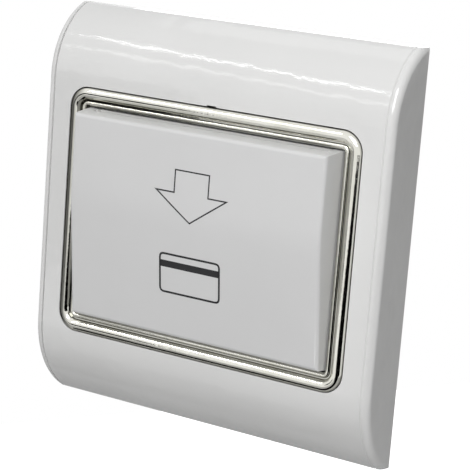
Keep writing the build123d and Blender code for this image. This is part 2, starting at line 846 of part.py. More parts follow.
# Power board
relay_length = board_height * relay_length_share
relay_low_z = relay_place_z - relay_length / 2
relay_pin_spread = corners(relay_width / 2 - relay_pin_inset, relay_length / 2 - relay_pin_inset)
relay_pin_places = [(relay_x + x, relay_place_z + z) for x, z in relay_pin_spread]
with BuildPart() as power_board:
    with BuildSketch(plane_out(board_back)):
        RectangleRounded(board_width, board_height, board_corner)
        with Locations(*post_places):
            Circle(board_screw_radius + slip, mode=Mode.SUBTRACT)
        with Locations(*link_pin_places):
            Circle(link_pin_width, mode=Mode.SUBTRACT)
        with Locations(*relay_pin_places):
            Circle(relay_pin_radius + relay_pin_hole_gap, mode=Mode.SUBTRACT)
        with Locations(*[(x, bar_end_z - bar_thickness / 2) for x in pole_xs]):
            Rectangle(bar_width + 2 * slip, bar_thickness + 2 * slip, mode=Mode.SUBTRACT)
    extrude(amount=board_thickness)
save(power_board, "power_board")


# Terminal block, open towards the board
with BuildPart() as terminal_block:
    with BuildSketch(clamp_plane(0)):
        with Locations((0, block_middle_z)):
            Rectangle(block_width, block_height)
    extrude(amount=-block_top)
    with BuildSketch(clamp_plane(0)):
        with Locations(*pole_places):
            Rectangle(cage_width + 2 * cage_play, cage_length + 2 * cage_play)
    extrude(amount=-cavity_top, mode=Mode.SUBTRACT)
    with BuildSketch(clamp_plane(0)):
        with Locations(*pole_places):
            Circle(clamp_screw_radius + slip)
    extrude(amount=-block_top, mode=Mode.SUBTRACT)
    with BuildSketch(clamp_plane(head_low)):
        with Locations(*pole_places):
            Circle(clamp_head_radius + slip)
    extrude(amount=-block_top, mode=Mode.SUBTRACT)
    with BuildSketch(clamp_plane(0)):
        with Locations(*[(x, cavity_top_z) for x in pole_xs]):
            Rectangle(bar_width + 2 * slip, bar_reach + slip, align=(Align.CENTER, Align.MIN))
    extrude(amount=-bar_top - slip, mode=Mode.SUBTRACT)
    with BuildSketch(Plane.XY.offset(block_low_z - overrun)):
        with Locations(*[(x, window_low + wire_gap / 2 - board_back) for x in pole_xs]):
            Rectangle(window_width, wire_gap)
    extrude(amount=entry_wall + 2 * overrun, mode=Mode.SUBTRACT)
save(terminal_block, "terminal_block")

with BuildPart() as terminal_bars:
    with BuildSketch(clamp_plane(bar_low)):
        with Locations(*[(x, bar_end_z) for x in pole_xs]):
            Rectangle(bar_width, bar_end_z - cavity_low_z - running_gap, align=(Align.CENTER, Align.MAX))
    extrude(amount=-bar_thickness)
    with BuildSketch(clamp_plane(bar_top)):
        with Locations(*[(x, bar_end_z) for x in pole_xs]):
            Rectangle(bar_width, bar_thickness, align=(Align.CENTER, Align.MAX))
    extrude(amount=bar_top + board_thickness + solder_stub)
save(terminal_bars, "terminal_bars")

for pole, place in enumerate(pole_places, start=1):
    with BuildPart() as terminal_screw:
        with BuildSketch(clamp_plane(bar_top + slip)):
            with Locations(place):
                Circle(clamp_screw_radius)
        extrude(amount=bar_top + slip - head_low)
        with BuildSketch(clamp_plane(head_low)):
            with Locations(place):
                Circle(clamp_head_radius)
        extrude(amount=-clamp_head_height)
        chamfer(terminal_screw.edges().group_by(Axis.Y)[-1], slip)
        with BuildSketch(clamp_plane(head_low + clamp_head_height)):
            with Locations(place):
                Rectangle(clamp_cross_length, clamp_cross_width)
                Rectangle(clamp_cross_width, clamp_cross_length)
        extrude(amount=clamp_cross_depth, mode=Mode.SUBTRACT)
    save(terminal_screw, f"terminal_screw_{pole}")

    with BuildPart() as terminal_cage:
        with BuildSketch(clamp_plane(cage_base_gap)):
            with Locations(place):
                Rectangle(cage_width, cage_length)
        extrude(amount=cage_base_gap - cage_top)
        with BuildSketch(Plane.XY.offset(cavity_low_z)):
            with Locations((place[0], (window_low + nut_low) / 2 - board_back)):
                Rectangle(window_width, nut_low - window_low)
        extrude(amount=cage_length + 2 * cage_play, mode=Mode.SUBTRACT)
        with BuildSketch(clamp_plane(nut_low - slip)):
            with Locations(place):
                Circle(clamp_screw_radius + clamp_screw_fit)
        extrude(amount=-cage_nut - 2 * slip, mode=Mode.SUBTRACT)
    save(terminal_cage, f"terminal_cage_{pole}")


# Relay: lengths run up from its lower end, heights from the power board towards the room
relay_inner_width = relay_width - 2 * relay_wall
relay_inner_length = relay_length - 2 * relay_wall
coil_axis_y = -board_front - coil_axis_height
bobbin_start = yoke_leg_start + iron_thickness + slip
coil_start = bobbin_start + bobbin_flange
coil_length = relay_length - coil_end_room
coil_end = coil_start + coil_length
bobbin_end = coil_end + bobbin_flange
core_head_start = bobbin_end + slip
pole_face = core_head_start + core_head_length
armature_face = pole_face + armature_gap
roof_end = armature_face - armature_hinge_gap
roof_low = coil_axis_height + bobbin_flange_radius + slip
roof_top = roof_low + roof_thickness
hinge_height = roof_top - armature_thickness / 2
rivet_middle = relay_base_height + rivet_rise
leaf_face = armature_face + armature_thickness
moving_front = leaf_face - rivet_height
moving_back = leaf_face + leaf_thickness + rivet_height
closing_travel = (hinge_height - rivet_middle + rivet_radius) * sin(radians(armature_angle))
open_contact_face = moving_front - closing_travel - slip / 2
shut_contact_face = moving_back + contact_gap


def relay_point(length, height):
    """A point of the relay's side view."""
    return (-board_front - height, relay_low_z + length)


def relay_side(x):
    """The plane of the relay's side view, at a place along X."""
    return Plane.YZ.offset(x)


with BuildPart() as relay_base:
    with BuildSketch(plane_out(board_front)):
        with Locations((relay_x, relay_place_z)):
            Rectangle(relay_inner_width - 2 * slip, relay_inner_length - 2 * slip)
    extrude(amount=relay_base_height)
save(relay_base, "relay_base")

with BuildPart() as relay_case:
    with BuildSketch(plane_out(board_front)):
        with Locations((relay_x, relay_place_z)):
            RectangleRounded(relay_width, relay_length, relay_corner)
    extrude(amount=relay_height)
    fillet(relay_case.edges().group_by(Axis.Y)[0], relay_wall / 2)
    with BuildSketch(plane_out(board_front)):
        with Locations((relay_x, relay_place_z)):
            Rectangle(relay_inner_width, relay_inner_length)
    extrude(amount=relay_height - relay_wall, mode=Mode.SUBTRACT)
save(relay_case, "relay_case")

with BuildPart() as relay_pins:
    with BuildSketch(plane_out(board_back - solder_stub)):
        with Locations(*relay_pin_places):
            Circle(relay_pin_radius)
    extrude(amount=board_thickness + solder_stub)
save(relay_pins, "relay_pins")

coil_axis = Axis((relay_x, coil_axis_y, 0), (0, 0, 1))
with BuildPart() as relay_bobbin:
    with BuildSketch(relay_side(relay_x)):
        with BuildLine():
            bore = coil_axis_height + core_radius + core_fit
            barrel = bore + bobbin_wall
            rim = coil_axis_height + bobbin_flange_radius
            Polyline(
                relay_point(bobbin_start, bore),
                relay_point(bobbin_start, rim),
                relay_point(coil_start, rim),
                relay_point(coil_start, barrel),
                relay_point(coil_end, barrel),
                relay_point(coil_end, rim),
                relay_point(bobbin_end, rim),
                relay_point(bobbin_end, bore),
                close=True,
            )
        make_face()
    revolve(axis=coil_axis)
save(relay_bobbin, "relay_bobbin")

with BuildPart() as relay_coil:
    with BuildSketch(Plane.XY.offset(relay_low_z + coil_start)):
        with Locations((relay_x, coil_axis_y)):
            Circle(coil_radius)
            Circle(core_radius + core_fit + bobbin_wall, mode=Mode.SUBTRACT)
    extrude(amount=coil_length)
save(relay_coil, "relay_coil")

with BuildPart() as relay_core:
    with BuildSketch(Plane.XY.offset(relay_low_z + yoke_leg_start)):
        with Locations((relay_x, coil_axis_y)):
            Circle(core_radius)
    extrude(amount=pole_face - yoke_leg_start)
    with BuildSketch(Plane.XY.offset(relay_low_z + core_head_start)):
        with Locations((relay_x, coil_axis_y)):
            Circle(core_head_radius)
    extrude(amount=core_head_length)
save(relay_core, "relay_core")

with BuildPart() as relay_yoke:
    with BuildSketch(relay_side(relay_x - iron_width / 2)):
        with BuildLine():
            Polyline(
                relay_point(yoke_leg_start, relay_base_height),
                relay_point(yoke_leg_start, roof_top),
                relay_point(roof_end, roof_top),
                relay_point(roof_end, roof_low),
                relay_point(yoke_leg_start + iron_thickness, roof_low),
                relay_point(yoke_leg_start + iron_thickness, relay_base_height),
                close=True,
            )
        make_face()
    extrude(amount=iron_width)
    with BuildSketch(Plane.XY.offset(relay_low_z)):
        with Locations((relay_x, coil_axis_y)):
            Circle(core_radius + core_fit)
    extrude(amount=coil_start, mode=Mode.SUBTRACT)
save(relay_yoke, "relay_yoke")

with BuildPart() as relay_armature:
    with BuildSketch(relay_side(relay_x - iron_width / 2)):
        with BuildLine():
            armature = Polyline(
                relay_point(leaf_face, hinge_height),
                relay_point(leaf_face, roof_top - armature_drop),
                relay_point(armature_face, roof_top - armature_drop),
                relay_point(armature_face, hinge_height),
            )
            hinge_top = relay_point(armature_face + armature_thickness / 2, roof_top)
            ThreePointArc(armature @ 1, hinge_top, armature @ 0)
        make_face()
    extrude(amount=iron_width)
save(relay_armature, "relay_armature")


def rivet_plane(length):
    """A plane across the relay's contacts, at a length from its lower end."""
    return Plane.XY.offset(relay_low_z + length)


rivet_place = (relay_x, -board_front - rivet_middle)
with BuildPart() as contact_leaf:
    with BuildSketch(rivet_plane(leaf_face)):
        with Locations((relay_x, rivet_radius - board_front - rivet_middle)):
            Rectangle(leaf_width, leaf_length, align=(Align.CENTER, Align.MAX))
    extrude(amount=leaf_thickness)
    with BuildSketch(rivet_plane(moving_front)):
        with Locations(rivet_place):
            Circle(rivet_radius)
    extrude(amount=moving_back - moving_front)
save(contact_leaf, "contact_leaf")

with BuildPart() as fixed_contacts:
    for rivet_start, blade_start in (
        (open_contact_face - rivet_height, open_contact_face - rivet_height - blade_thickness),
        (shut_contact_face, shut_contact_face + rivet_height),
    ):
        with BuildSketch(rivet_plane(rivet_start)):
            with Locations(rivet_place):
                Circle(rivet_radius)
        extrude(amount=rivet_height)
        with BuildSketch(rivet_plane(blade_start)):
            with Locations((relay_x, -board_front - relay_base_height)):
                Rectangle(leaf_width, blade_height, align=(Align.CENTER, Align.MAX))
        extrude(amount=blade_thickness)
save(fixed_contacts, "fixed_contacts")


# Other parts on the power board
def board_place(shares):
    """A place on the power board, given as shares of half its width and height."""
    return (shares[0] * board_width / 2, shares[1] * board_height / 2)


def board_block(size, shares):
    """A moulded block that stands on the power board."""
    with BuildPart() as block:
        with BuildSketch(plane_out(board_front)):
            with Locations(board_place(shares)):
                Rectangle(size[0], size[1])
        extrude(amount=size[2])
        fillet(block.edges().filter_by(Axis.Y) + block.edges().group_by(Axis.Y)[0], part_corner)
    return block


save(board_block(line_capacitor_size, line_capacitor_shares), "line_capacitor")
save(board_block(rectifier_size, rectifier_shares), "bridge_rectifier")
save(board_block(control_chip_size, control_chip_shares), "control_chip")
save(board_block(fuse_size, fuse_shares), "line_fuse")

varistor_x, varistor_z = board_place(varistor_shares)
with BuildPart() as varistor:
    with BuildSketch(Plane.YZ.offset(varistor_x - varistor_thickness / 2)):
        with Locations((-board_front - varistor_lead_length - varistor_radius, varistor_z)):
            Circle(varistor_radius)
    extrude(amount=varistor_thickness)
    fillet(varistor.edges(), varistor_thickness / 4)
    with BuildSketch(plane_out(board_front)):
        with Locations(
            (varistor_x, varistor_z - varistor_lead_spacing / 2),
            (varistor_x, varistor_z + varistor_lead_spacing / 2),
        ):
            Circle(varistor_lead_radius)
    extrude(amount=varistor_lead_length + varistor_radius / 2)
save(varistor, "varistor")

with BuildPart() as filter_capacitors:
    for radius, height, shares in zip(filter_radii, filter_heights, filter_shares):
        place = board_place(shares)
        with BuildSketch(plane_out(board_front)):
            with Locations(place):
                Circle(radius)
        extrude(amount=height)
        with BuildSketch(plane_out(board_front + filter_groove_rise)):
            with Locations(place):
                Circle(radius + overrun)
                Circle(radius - filter_groove, mode=Mode.SUBTRACT)
        extrude(amount=2 * filter_groove, mode=Mode.SUBTRACT)
save(filter_capacitors, "filter_capacitors")
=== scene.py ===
"""Finishes, printed marks and studio for a hotel key card switch, on its fixed CAD frame."""
import math

import bmesh
import bpy
from bpy.props import FloatProperty, FloatVectorProperty, IntProperty, PointerProperty
from mathutils import Matrix, Vector


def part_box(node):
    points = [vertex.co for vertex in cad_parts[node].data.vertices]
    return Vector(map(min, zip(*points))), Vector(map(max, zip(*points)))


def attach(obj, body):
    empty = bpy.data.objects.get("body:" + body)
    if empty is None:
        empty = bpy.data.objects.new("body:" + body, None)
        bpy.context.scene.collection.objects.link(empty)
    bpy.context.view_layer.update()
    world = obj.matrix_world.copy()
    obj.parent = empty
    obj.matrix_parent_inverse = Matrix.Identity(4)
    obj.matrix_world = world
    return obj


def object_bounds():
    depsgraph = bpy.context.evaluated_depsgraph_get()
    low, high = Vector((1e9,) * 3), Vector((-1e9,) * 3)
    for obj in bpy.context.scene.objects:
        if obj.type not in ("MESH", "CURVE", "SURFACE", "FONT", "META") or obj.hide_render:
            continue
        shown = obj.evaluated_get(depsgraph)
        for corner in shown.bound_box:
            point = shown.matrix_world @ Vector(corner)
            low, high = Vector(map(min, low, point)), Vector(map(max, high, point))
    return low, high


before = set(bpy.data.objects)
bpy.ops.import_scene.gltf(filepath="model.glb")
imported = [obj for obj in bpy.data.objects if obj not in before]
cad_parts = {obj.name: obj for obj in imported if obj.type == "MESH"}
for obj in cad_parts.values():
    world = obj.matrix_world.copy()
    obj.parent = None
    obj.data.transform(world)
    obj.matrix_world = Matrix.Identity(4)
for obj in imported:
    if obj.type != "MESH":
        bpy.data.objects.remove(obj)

bl_info = {
    "name": "Hotel Key Card Switch",
    "version": (1, 0, 0),
    "blender": (4, 5, 0),
    "location": "View3D > Sidebar > Card Switch",
    "description": "Dresses the key card switch with its finishes, printed marks and studio",
    "category": "Object",
}

MM = 0.001
CAD_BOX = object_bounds()
RING_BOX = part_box("chrome_ring")
READER_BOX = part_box("reader_board")
CHIP_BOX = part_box("reader_chip")
ROOT = "wall_unit"
INSERT = "card_insert"

# The camera's axes, and its place in metres
CAMERA_RIGHT = (0.849659500517068, 0.5219530049066989, 0.07512518785303626)
CAMERA_DOWN = (0.1747661404050911, -0.14430698469459513, -0.9739775615157988)
CAMERA_AHEAD = (-0.49752942561118374, 0.8406786275606282, -0.2138315126771172)
CAMERA_PLACE = (0.19820751, -0.33391369, 0.08329418)
CAMERA_REACH = (0.02, 20)
SENSOR_WIDTH = 36

# The cover's front face: depths of its flat part and of its low edge, and the bend between them
COVER_FLAT = -18.4 * MM
COVER_TOE = -14.9 * MM
COVER_BEND = 4.5 * MM
COVER_RADIUS = 40 * MM
COVER_LOW_EDGE = 23.25 * MM

# Printed lines are divided into steps of this length at most, so that they follow the cover
PRINT_STEP = 0.6 * MM
CORNER_STEPS = 4
CARD_CORNER = 1.0 * MM

# Reader board: the chip's leads, and the chip parts' places as X and Z in mm and whether each stands upright
LEAD_THICKNESS = 0.12 * MM
LEAD_SHOULDER = 0.35 * MM
LEAD_BEVEL = 0.02 * MM
PART_BEVEL = 0.04 * MM
PART_END_BEVEL = 0.03 * MM
PART_PLACES = ((-7.5, -6, 0), (-7.5, -3.5, 0), (-7.5, -1, 0), (7.5, -6, 0), (7.5, -3.5, 0), (7.5, -1, 0),
               (-3, -9.5, 1), (0, -9.5, 1), (3, -9.5, 1), (-4.5, 3, 1), (0, 3, 1), (4.5, 3, 1))

# Studio boards in metres: the corners that lie low, as X and Y, and then the raised corners
FLAG_RISE = 0.003
BOARDS = (
    ("studio_floor", ((-0.49, -0.16), (0.09, -0.51), (1.29, 1.51), (0.71, 1.86)), ()),
    ("low_flag", ((-0.145, -0.115), (-0.045, -0.115), (-0.018, -0.134), (0.012, -0.17), (0.04, -0.24),
                  (-0.01, -0.34), (0.26, -0.26), (0.133, -0.12), (0.059, -0.066), (0.008, -0.035),
                  (-0.032, -0.012), (-0.125, -0.011)), ()),
    ("front_flag", ((-0.03, -0.34), (0.32, -0.19)),
     ((0.37, -0.13, -0.03), (0.19, -0.30, -0.03), (-0.02, -0.34, -0.10))),
    ("left_flag", ((-0.45, -0.50), (-0.31, -0.50)), ((-0.31, -0.50, 0.02), (-0.45, -0.50, 0.02))))

# Lamps: name, power setting and share of it, then size, place and the point that it faces, in metres
LAMPS = (
    ("top_softbox", "top_lamp", 1.0, (0.9, 0.30), (0.0, 0.15, 0.70), (0, 0, 0)),
    ("front_softbox", "key_lamp", 1.0, (0.30, 0.30), (0.17, -0.48, 0.32), (0, 0, 0)),
    ("back_softbox", "back_lamp", 1.0, (0.50, 0.50), (-0.25, 0.75, 0.20), (0, 0, 0)),
    ("upper_strip", "strip_lamp", 1.0, (0.40, 0.014), (-0.49, -0.585, 0.65), (0.0, -0.01, 0.037)),
    ("lower_strip", "strip_lamp", 0.35, (0.36, 0.03), (-0.49, -0.74, 0.45), (0.0, -0.01, 0.034)))
# The line that the barrel's upper shoulder mirrors, which each strip runs along
STRIP_LINE = (0.17, -0.18, -0.12)


def linear(hex_colour):
    """Turn an sRGB hex value into the linear colour that the shaders take."""
    channels = [int(hex_colour[i:i + 2], 16) / 255 for i in (1, 3, 5)]
    return tuple(c / 12.92 if c <= 0.04045 else ((c + 0.055) / 1.055) ** 2.4 for c in channels)


def colour(label, hex_value, about):
    """A colour that a user can change, with a named default."""
    return FloatVectorProperty(name=label, description=about, subtype="COLOR", size=3, min=0, max=1,
                               default=linear(hex_value))


def length(label, millimetres, about):
    """A length that a user can change, stored in metres."""
    return FloatProperty(name=label, description=about, subtype="DISTANCE", unit="LENGTH", min=0,
                         precision=5, default=millimetres * MM)


class PlateFinish(bpy.types.PropertyGroup):
    """Colours and grain of the white mouldings."""

    plate: colour("Plate", "#E9E9E8", "Base colour of the wall plate and its cheeks")
    cover: colour("Cover", "#DFDFDF", "Base colour of the card cover")
    pocket: colour("Pocket", "#D9D9D7", "Base colour of the card pocket")
    rear: colour("Rear housing", "#E4E3DF", "Base colour of the rear housing and mounting plate")
    grain: length("Grain", 0.35, "Width of one grain of the spark-eroded mould texture")


class RingFinish(bpy.types.PropertyGroup):
    """Look of the plated trim ring."""

    plating: colour("Plating", "#E8E7DF", "Tint of the plated trim")
    scratch: length("Scratch", 0.08, "Width of the fine polishing marks in the plating")
    corner: length("Corner", 4.5, "Radius of the ring's outer corners")
    channel_start: length("Channel start", 2.5, "Distance from the ring's outside to its channel")
    channel_end: length("Channel end", 2.9, "Distance from the ring's outside to the channel's far side")
    band: length("Band", 4.0, "Whole width of the ring's band")
    # Width of the band of painted shade along the ring's shaded side, which stands in for the reflection of
    # the shaded seam
    joint: length("Joint line", 1.9, "Width of the dark joint line along the ring's shaded side")


class PrintSizes(bpy.types.PropertyGroup):
    """The printed marks on the card cover."""

    ink: colour("Ink", "#2E2E30", "Colour of the printed marks")
    arrow_line: length("Arrow line", 0.3, "Width of the arrow's printed outline")
    arrow_top: length("Arrow top", 14.4, "Height of the arrow's flat end above the centre")
    arrow_neck: length("Arrow neck", 9.5, "Height where the arrow's head starts")
    arrow_tip: length("Arrow tip", 3.4, "Height of the arrow's point")
    arrow_shaft: length("Arrow shaft", 8.5, "Width of the arrow's shaft")
    arrow_head: length("Arrow head", 17.6, "Width of the arrow's head")
    card_width: length("Card mark width", 15.0, "Width of the printed card outline")
    card_height: length("Card mark height", 8.6, "Height of the printed card outline")
    card_middle: length("Card mark drop", 8.6, "Distance of the card outline's middle below the centre")
    film: length("Ink film", 0.02, "Thickness of the printed ink")


class BoardDetail(bpy.types.PropertyGroup):
    """Small parts added to the reader board."""

    mask: colour("Solder mask", "#17653A", "Colour of the boards' solder mask")
    lead_count: IntProperty(name="Chip leads", description="Leads on each side of the reader chip",
                            default=8, min=2, max=16)
    lead_width: length("Lead width", 0.3, "Width of one lead of the reader chip")
    lead_reach: length("Lead reach", 0.9, "How far a lead stands out from the chip")
    chip_part: length("Chip part", 1.6, "Length of one small resistor or capacitor")


class StudioSetup(bpy.types.PropertyGroup):
    """Camera, lamps and floor."""

    focal: FloatProperty(name="Focal length", description="Focal length of the camera on a 36 mm sensor",
                         default=138.39, min=10, max=500)
    floor_drop: length("Floor drop", 120.0, "Height of the object's lowest point above the floor")
    top_lamp: FloatProperty(name="Top lamp", description="Power of the long overhead softbox, in watts",
                            default=0.6, min=0)
    key_lamp: FloatProperty(name="Key lamp", description="Power of the front softbox, in watts",
                            default=2.5, min=0)
    back_lamp: FloatProperty(name="Back lamp", description="Power of the softbox behind, in watts",
                             default=2.4, min=0)
    strip_lamp: FloatProperty(name="Strip lamps", description="Power of the two narrow strips, in watts",
                              default=0.32, min=0)
    floor_lift: FloatProperty(name="Floor lift", description="Added brightness of the floor as it is seen",
                              default=0.9, min=0)
    sky: FloatProperty(name="Sky", description="Strength of the even light from all round",
                       default=0.18, min=0)


def node(tree, kind, sockets=None, stops=(), **settings):
    """Add a node with its settings, its sockets' values or links, and any stops of a colour ramp."""
    made = tree.nodes.new(kind)
    for field, value in settings.items():
        setattr(made, field, value)
    for name, value in (sockets or {}).items():
        if isinstance(value, bpy.types.NodeSocket):
            tree.links.new(value, made.inputs[name])
        else:
            made.inputs[name].default_value = value
    for index, (at, value) in enumerate(stops):
        elements = made.color_ramp.elements
        element = elements[index] if index < 2 else elements.new(at)
        element.position, element.color = at, (*value, 1)
    return made


def new_finish(name, sockets):
    """A fresh material with one shader; what is even all over is set on the shader's own sockets."""
    finish = bpy.data.materials.new(name)
    finish.use_nodes = True
    tree = finish.node_tree
    tree.nodes.clear()
    shader = node(tree, "ShaderNodeBsdfPrincipled", sockets)
    node(tree, "ShaderNodeOutputMaterial", {"Surface": shader.outputs["BSDF"]})
    place = node(tree, "ShaderNodeTexCoord")
    return finish, tree, shader.inputs, place.outputs["Object"]


def scaled(value, share):
    """A linear colour made darker or lighter by a share."""
    return tuple(min(1, c * share) for c in value)


def moulded(name, base, grain, roughness, depth, gloss=0.5, haze=0.03, orange_peel=0.0):
    """Injection-moulded plastic.

    The mould's spark-eroded grain breaks up reflections, a slow drift of colour comes from the melt's
    flow, and orange peel, a wave of about 6 mm, bends the highlights of a polished face.
    """
    finish, tree, shader, place = new_finish(name, {"IOR": 1.53, "Specular IOR Level": gloss})
    drift = node(tree, "ShaderNodeTexNoise", {"Vector": place, "Scale": 1 / (25 * MM), "Detail": 3})
    tint = node(tree, "ShaderNodeValToRGB", {"Fac": drift.outputs["Fac"]},
                stops=((0.3, scaled(base, 1 - haze)), (0.7, base)))
    tree.links.new(tint.outputs["Color"], shader["Base Color"])
    fine = node(tree, "ShaderNodeTexNoise", {"Vector": place, "Scale": 1 / grain, "Detail": 4})
    spread = node(tree, "ShaderNodeMapRange", {"Value": fine.outputs["Fac"], "From Min": 0.3, "From Max": 0.7,
                                               "To Min": roughness - 0.04, "To Max": roughness + 0.04})
    tree.links.new(spread.outputs["Result"], shader["Roughness"])
    relief = node(tree, "ShaderNodeBump", {"Height": fine.outputs["Fac"], "Strength": 0.35,
                                           "Distance": depth})
    if orange_peel:
        wave = node(tree, "ShaderNodeTexNoise", {"Vector": place, "Scale": 1 / (6 * MM), "Detail": 2})
        relief = node(tree, "ShaderNodeBump", {"Height": wave.outputs["Fac"], "Strength": 1.0,
                                               "Distance": orange_peel, "Normal": relief.outputs["Normal"]})
    tree.links.new(relief.outputs["Normal"], shader["Normal"])
    return finish


def plated_trim(name, sizes, low, high):
    """Bright chromium over moulded ABS.

    Nearly a mirror, so it shows dark and light lines along each bead. Buffing leaves marks 0.08 mm
    apart. Painted shade darkens the colour at the ring's outer and inner edges, along the channel's
    sides and on its floor. A band of painted shade runs along the outer foot on the ring's side of low X:
    it goes by the place on the ring, and stands in for the reflection of the shaded seam there.
    """
    finish, tree, shader, place = new_finish(name, {"Metallic": 1.0})
    base = sizes.plating
    # Shares of the plating's colour for painted shade: in the recesses, at the outer edge, on the channel's
    # floor and along the shaded side
    recess_shade, rim_shade, channel_shade, dark = (scaled(base, share) for share in (0.35, 0.45, 0.6, 0.12))
    middle = [(low[axis] + high[axis]) / 2 for axis in (0, 2)]
    half = [(high[axis] - low[axis]) / 2 - sizes.corner for axis in (0, 2)]
    parts = node(tree, "ShaderNodeSeparateXYZ", {"Vector": place})
    beyond = []
    for axis, centre, reach in zip(("X", "Z"), middle, half):
        shifted = node(tree, "ShaderNodeMath", {0: parts.outputs[axis], 1: centre}, operation="SUBTRACT")
        mirrored = node(tree, "ShaderNodeMath", {0: shifted.outputs[0]}, operation="ABSOLUTE")
        beyond.append(node(tree, "ShaderNodeMath", {0: mirrored.outputs[0], 1: reach}, operation="SUBTRACT"))
    outer = [node(tree, "ShaderNodeMath", {0: b.outputs[0], 1: 0.0}, operation="MAXIMUM") for b in beyond]
    pair = node(tree, "ShaderNodeCombineXYZ", {0: outer[0].outputs[0], 1: outer[1].outputs[0]})
    reach = node(tree, "ShaderNodeVectorMath", {0: pair.outputs[0]}, operation="LENGTH")
    larger = node(tree, "ShaderNodeMath", {0: beyond[0].outputs[0], 1: beyond[1].outputs[0]},
                  operation="MAXIMUM")
    inner = node(tree, "ShaderNodeMath", {0: larger.outputs[0], 1: 0.0}, operation="MINIMUM")
    total = node(tree, "ShaderNodeMath", {0: reach.outputs["Value"], 1: inner.outputs[0]}, operation="ADD")
    inset = node(tree, "ShaderNodeMapRange", {"Value": total.outputs[0], "From Min": sizes.corner,
                                              "From Max": sizes.corner - sizes.band})
    first, second = sizes.channel_start / sizes.band, sizes.channel_end / sizes.band
    # Painted shade: the plating's colour darkens at the outer foot, along the channel's sides and floor, and
    # at the inner edge
    corners = node(tree, "ShaderNodeValToRGB", {"Fac": inset.outputs["Result"]}, stops=(
        (0.0, rim_shade), (0.07, base), (first - 0.03, base), (first, recess_shade), (first + 0.03, channel_shade),
        (second - 0.02, channel_shade), (second, recess_shade), (second + 0.03, base), (0.95, base), (1.0, recess_shade)))
    # Painted shade: a dark band along the outer foot on the ring's side of low X, placed by position on the
    # ring
    side = node(tree, "ShaderNodeMapRange", {"Value": parts.outputs["X"],
                                             "From Min": low[0] + sizes.corner * 0.9,
                                             "From Max": low[0] + sizes.corner * 0.2})
    foot = node(tree, "ShaderNodeMapRange", {"Value": inset.outputs["Result"],
                                             "From Min": sizes.joint / sizes.band,
                                             "From Max": sizes.joint * 0.7 / sizes.band})
    joint = node(tree, "ShaderNodeMath", {0: side.outputs["Result"], 1: foot.outputs["Result"]},
                 operation="MULTIPLY")
    shaded_tint = node(tree, "ShaderNodeMix", {0: joint.outputs["Value"], 6: corners.outputs["Color"],
                                         7: (*dark, 1)}, data_type="RGBA")
    haze = node(tree, "ShaderNodeTexNoise", {"Vector": place, "Scale": 1 / (6 * MM), "Detail": 4})
    tone = node(tree, "ShaderNodeValToRGB", {"Fac": haze.outputs["Fac"]},
                stops=((0.35, (0.9, 0.9, 0.88)), (0.65, (1.0, 1.0, 1.0))))
    # The painted shade, multiplied by a slow random tone of the plating
    tone_and_shade = node(tree, "ShaderNodeMix", {0: 1.0, 6: shaded_tint.outputs[2], 7: tone.outputs["Color"]},
                data_type="RGBA", blend_type="MULTIPLY")
    tree.links.new(tone_and_shade.outputs[2], shader["Base Color"])
    tree.links.new(tone_and_shade.outputs[2], shader["Specular Tint"])
    marks = node(tree, "ShaderNodeTexNoise", {"Vector": place, "Scale": 1 / sizes.scratch, "Detail": 3})
    spread = node(tree, "ShaderNodeMapRange", {"Value": marks.outputs["Fac"], "From Min": 0.3,
                                               "From Max": 0.75, "To Min": 0.05, "To Max": 0.12})
    tree.links.new(spread.outputs["Result"], shader["Roughness"])
    relief = node(tree, "ShaderNodeBump", {"Height": marks.outputs["Fac"], "Strength": 0.15,
                                           "Distance": 0.004 * MM})
    ripple = node(tree, "ShaderNodeTexNoise", {"Vector": place, "Scale": 1 / (1.2 * MM), "Detail": 2})
    bent = node(tree, "ShaderNodeBump", {"Height": ripple.outputs["Fac"], "Strength": 0.6,
                                         "Distance": 0.03 * MM, "Normal": relief.outputs["Normal"]})
    tree.links.new(bent.outputs["Normal"], shader["Normal"])
    return finish


def turned_metal(name, base, dark, grain, roughness, stretch=(1, 1, 1)):
    """Turned, stamped or drawn metal: tool marks, with a little dulling in their hollows."""
    finish, tree, shader, place = new_finish(name, {"Metallic": 1.0})
    along = node(tree, "ShaderNodeMapping", {"Vector": place, "Scale": stretch})
    marks = node(tree, "ShaderNodeTexNoise", {"Vector": along.outputs["Vector"], "Scale": 1 / grain,
                                              "Detail": 5})
    tint = node(tree, "ShaderNodeValToRGB", {"Fac": marks.outputs["Fac"]}, stops=((0.3, dark), (0.65, base)))
    tree.links.new(tint.outputs["Color"], shader["Base Color"])
    spread = node(tree, "ShaderNodeMapRange", {"Value": marks.outputs["Fac"], "From Min": 0.3,
                                               "From Max": 0.7, "To Min": roughness + 0.08,
                                               "To Max": roughness - 0.05})
    tree.links.new(spread.outputs["Result"], shader["Roughness"])
    relief = node(tree, "ShaderNodeBump", {"Height": marks.outputs["Fac"], "Strength": 0.3,
                                           "Distance": 0.02 * MM})
    tree.links.new(relief.outputs["Normal"], shader["Normal"])
    return finish


